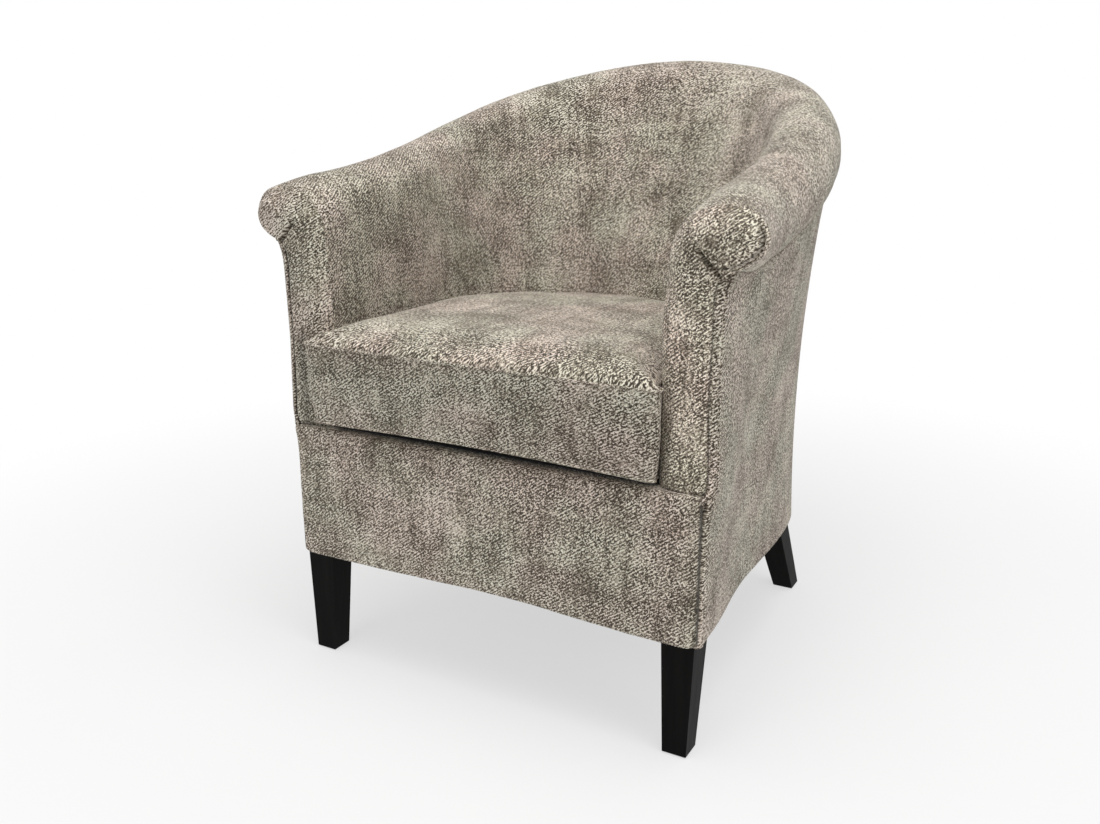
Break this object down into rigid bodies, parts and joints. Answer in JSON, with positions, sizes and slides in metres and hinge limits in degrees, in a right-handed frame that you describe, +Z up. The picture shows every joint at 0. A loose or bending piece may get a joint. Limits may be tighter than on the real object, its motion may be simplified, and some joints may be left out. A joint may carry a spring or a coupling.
{
  "type": "cabriolet armchair",
  "caption": "Compact tub armchair with a rolled top edge sweeping from the arms up round the back, a loose boxed seat cushion and short tapered dark wooden legs.",
  "frame": {"origin": "on the floor, under the middle of the chair's box", "axes": "+Z up, -Y to the front where the sitter's knees are, +X to the right as seen from the front"},
  "size_m": [0.672, 0.671, 0.797],
  "materials": {
    "cover_fabric": "taupe chenille twill",
    "foam": "open-cell foam",
    "plywood": "birch plywood",
    "leg_wood": "near-black satin stain",
    "webbing": "woven webbing",
    "black_cloth": "black non-woven cloth",
    "felt": "needled felt",
    "steel": "zinc plated",
    "glide_plastic": "moulded"
  },
  "bodies": {
    "chair": {"base_ring": "plywood", "seat_ring": "plywood", "corner_posts": "plywood", "front_rail": "plywood", "side_rail_left": "plywood", "side_rail_right": "plywood", "rear_rail": "plywood", "arm_post_left": "plywood", "arm_post_right": "plywood", "top_hoop": "plywood", "back_post_left": "plywood", "back_post_right": "plywood", "back_lining": "webbing", "back_straps": "webbing", "seat_straps_long": "webbing", "seat_straps_cross": "webbing", "inside_foam": "foam", "arm_front_pad_left": "foam", "arm_front_pad_right": "foam", "front_border_pad": "foam", "inside_cover": "cover_fabric", "outside_cover": "cover_fabric", "front_border_cover": "cover_fabric", "dust_cover": "black_cloth", "platform_pad": "felt", "platform_cloth": "black_cloth", "leg_front_left": "leg_wood", "leg_front_right": "leg_wood", "leg_rear_left": "leg_wood", "leg_rear_right": "leg_wood", "leg_bolts": "steel", "leg_inserts": "steel", "glides": "glide_plastic"},
    "seat_cushion": {"cushion_top_panel": "cover_fabric", "cushion_bottom_panel": "cover_fabric", "cushion_border": "cover_fabric", "cushion_core": "foam", "zip_chain": "glide_plastic"},
    "zip": {"zip_slider": "steel"}
  },
  "joints": [
    {"name": "seat_cushion_lift", "type": "slide", "parent": "chair", "child": "seat_cushion", "axis": [0, 0, 1], "range_m": [0, 0.46]},
    {"name": "zip_slide", "type": "hinge", "parent": "seat_cushion", "child": "zip", "pos_m": [0, -0.1075, 0.388], "axis": [0, 0, 1], "range_deg": [0, 150]}
  ]
}
